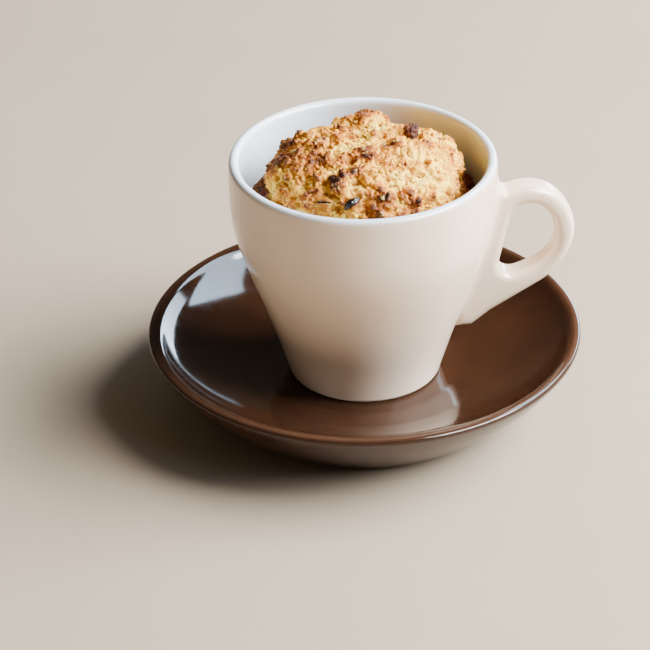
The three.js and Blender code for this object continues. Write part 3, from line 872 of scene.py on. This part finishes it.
def crumb_shapes(draw):
    """Rough little crumbs with a half size of about 1, all with the same triangles."""
    directions, faces = geodesic(CRUMB_FREQUENCY)
    shapes = []
    for _ in range(CRUMB_SHAPES):
        place = directions * 2 + draw.uniform(0, 50, 3)
        bumps = 1 + CRUMB_BUMPS * (fog(place, CRUMB_BUMP_SIZE, CRUMB_BUMP_SALT) - 0.5) * 2
        shape = directions * bumps[:, None]
        for plane in unit(draw.normal(size=(3, 3))):
            over = np.maximum(shape @ plane - CRUMB_CUT, 0)
            shape = shape - np.outer(over, plane)
        shapes.append(shape)
    return shapes, faces


def random_turn(draw):
    return np.array(Quaternion(draw.normal(size=4)).normalized().to_matrix())


def make_crumbs(surface, faces, baked, shade, opened, look):
    """Loose-looking crumbs and flakes that are baked on to the crust."""
    draw = np.random.default_rng(SEED)
    shapes, shape_faces = crumb_shapes(draw)
    normals = vertex_normals(surface, faces)
    seen = np.flatnonzero((opened > CRUMB_OPENED) & (normals[:, 2] > CRUMB_FACING))
    raisins = [raisin_frame(turn, out, proud, spin)[0] for _, turn, out, _, proud, spin in RAISINS]
    points, browned, shaded = [], [], []
    while len(points) < CRUMB_COUNT:
        spot = seen[draw.integers(len(seen))]
        if min(np.linalg.norm(surface[spot] - centre) for centre in raisins) < CRUMB_CLEARANCE:
            continue
        size = lerp(*CRUMB_HALF_SIZES, draw.random() ** CRUMB_SMALLNESS)
        stretch = size * np.array([1, draw.uniform(*CRUMB_WIDTHS), draw.uniform(*CRUMB_HEIGHTS)])
        shape = (shapes[draw.integers(CRUMB_SHAPES)] * stretch) @ random_turn(draw).T
        points.append(shape + surface[spot] + normals[spot] * size * draw.uniform(-CRUMB_PROUD, CRUMB_PROUD))
        browned.append(np.full(len(shape), baked[spot] + draw.normal(0, CRUMB_TINT)))
        # Each crumb takes the painted shade of the place where it lies.
        shaded.append(np.full(len(shape), shade[spot]))
    step = len(shapes[0])
    many = np.concatenate([shape_faces + n * step for n in range(CRUMB_COUNT)])
    placed = np.concatenate(points) + (0, 0, RIM_HEIGHT)
    # The crumbs get no painted shade of clefts.
    values = {
        "baked": np.clip(np.concatenate(browned), 0, 1), "cleft_shade": np.zeros(len(placed)),
        "shade": np.concatenate(shaded),
    }
    make_piece("crust_crumbs", placed, many, look, [], values=values)


def make_pudding():
    look = baked_crumb()
    points, faces, baked, cleft_shade, shade, opened = pudding_surface()
    placed = points + (0, 0, RIM_HEIGHT)
    values = {"baked": baked, "cleft_shade": cleft_shade, "shade": shade}
    make_piece("pudding_crust", placed, faces, look, ["pudding"], values=values)
    make_crumbs(points, faces, baked, shade, opened, look)


RAISIN_FREQUENCY = 20
RAISIN_GRAIN = (1.6, 2.6, 2.6)          # how close the wrinkles are along and across a raisin
# A raisin's radius in its half sizes: in its furrows, and what ridges and fine wrinkles add.
RAISIN_FURROWS, RAISIN_RIDGES, RAISIN_WRINKLES = 0.86, 0.2, 0.05
RIDGE_SIZE, LUMPY_SIZE, WRINKLE_SIZE = 0.8, 1.5, 0.33
RIDGE_SALT, LUMPY_SALT, WRINKLE_SALT = 71, 73, 72


def make_raisins():
    plump = raisin_skin("raisin_skin", paint(14, 8, 8), paint(36, 26, 27), 0.06, 0.3)
    burnt = raisin_skin("burnt_raisin_skin", paint(58, 24, 17), paint(150, 84, 48), 0.6, 0.0)
    directions, faces = geodesic(RAISIN_FREQUENCY)
    along = directions * RAISIN_GRAIN
    for n, (name, turn, out, half, proud, spin) in enumerate(RAISINS):
        centre, axes = raisin_frame(turn, out, proud, spin)
        ridges = np.abs(fog(along + 9 * n, RIDGE_SIZE, RIDGE_SALT) - 0.5) * 2
        lumpy = RAISIN_LUMPS[name] * (fog(along + 5 * n, LUMPY_SIZE, LUMPY_SALT) - 0.5)
        wrinkles = np.abs(fog(along + 9 * n, WRINKLE_SIZE, WRINKLE_SALT) - 0.5) * 2
        swell = RAISIN_FURROWS + RAISIN_RIDGES * ridges + RAISIN_WRINKLES * wrinkles + lumpy
        placed = (directions * half * swell[:, None]) @ axes + centre + (0, 0, RIM_HEIGHT)
        look = burnt if name == "raisin_top" else plump
        make_piece(name + "_wrinkled", placed, faces, look, [name])


# ---- floor, lights and camera; the floor's and the lamps' sizes and distances are in metres ----
FLOOR_HALF = 3.0
# Name, direction and rise seen from the cup in the photograph's own frame, distance, size, radiance,
# tint, roll, and whether it lights matt surfaces and shows in the glazes.
LIGHTS = [
    ("soft_box", 4, 36, 1.2, (1.2, 0.9), 36.0, (0.98, 0.985, 1.0), 0, True, False),
    ("window", 26, 43, 0.95, (0.7, 0.4), 27.0, (0.6, 0.81, 1.0), 0, False, True),
    ("low_window", 56, 10, 1.3, (0.95, 0.24), 24.0, (0.64, 0.83, 1.0), -40, False, True),
    ("gleam", -27, 38, 1.2, (0.95, 0.45), 80.0, (0.95, 0.98, 1.0), 0, False, True),
]
LIGHTS_AIM_HEIGHT = 50                  # in millimetres
SKY = (0.95, 0.76, 0.56, 1.0)
SKY_STRENGTH = 0.16


def make_stage():
    mesh = bpy.data.meshes.new("floor")
    corners = [(x * FLOOR_HALF, y * FLOOR_HALF, 0) for x, y in ((-1, -1), (1, -1), (1, 1), (-1, 1))]
    mesh.from_pydata(corners, [], [(0, 1, 2, 3)])
    mesh.materials.append(floor_paint())
    floor = bpy.data.objects.new("floor", mesh)
    bpy.context.scene.collection.objects.link(floor)


def make_lights():
    middle = Vector((0, 0, LIGHTS_AIM_HEIGHT * MM))
    for name, turn, rise, distance, (width, height), radiance, tint, roll, lit, mirrored in LIGHTS:
        light = bpy.data.lights.new(name, "AREA")
        light.shape = "RECTANGLE"
        light.size, light.size_y = width, height
        light.energy = radiance * math.pi * width * height
        light.color = tint
        lamp = bpy.data.objects.new(name, light)
        angle, lift = (turn + CAMERA_AZIMUTH) * RAD, rise * RAD
        back = Vector((math.cos(angle) * math.cos(lift), math.sin(angle) * math.cos(lift), math.sin(lift)))
        lamp.location = middle + back * distance
        facing = back.to_track_quat("Z", "Y") @ Quaternion((0, 0, 1), roll * RAD)
        lamp.rotation_euler = facing.to_euler()
        lamp.visible_camera = False
        lamp.visible_diffuse, lamp.visible_glossy = lit, mirrored
        bpy.context.scene.collection.objects.link(lamp)
    world = bpy.data.worlds.new("sky")
    world.use_nodes = True
    sky = world.node_tree.nodes["Background"]
    sky.inputs["Color"].default_value = SKY
    sky.inputs["Strength"].default_value = SKY_STRENGTH
    bpy.context.scene.world = world


def make_camera():
    """Stands where the photograph was taken from, with the cup's rim above and right of the middle."""
    turn, rise = CAMERA_AZIMUTH * RAD, CAMERA_ELEVATION * RAD
    back = Vector((math.sin(turn) * math.cos(rise), -math.cos(turn) * math.cos(rise), math.sin(rise)))
    aim = Euler((AIM_TILT * RAD, -AIM_TURN * RAD, AIM_ROLL * RAD), "ZXY").to_quaternion()
    camera = bpy.data.objects.new("camera", bpy.data.cameras.new("camera"))
    camera.data.sensor_width = SENSOR
    camera.data.lens = FOCAL_PIXELS / PHOTO_PIXELS * SENSOR
    camera.location = Vector((0, 0, CAMERA_AIM_HEIGHT * MM)) + back * CAMERA_DISTANCE * MM
    camera.rotation_mode = "QUATERNION"
    camera.rotation_quaternion = back.to_track_quat("Z", "Y") @ aim
    bpy.context.scene.collection.objects.link(camera)
    bpy.context.scene.camera = camera


make_saucer()
make_cup()
make_pudding()
make_raisins()
make_stage()
make_lights()
make_camera()
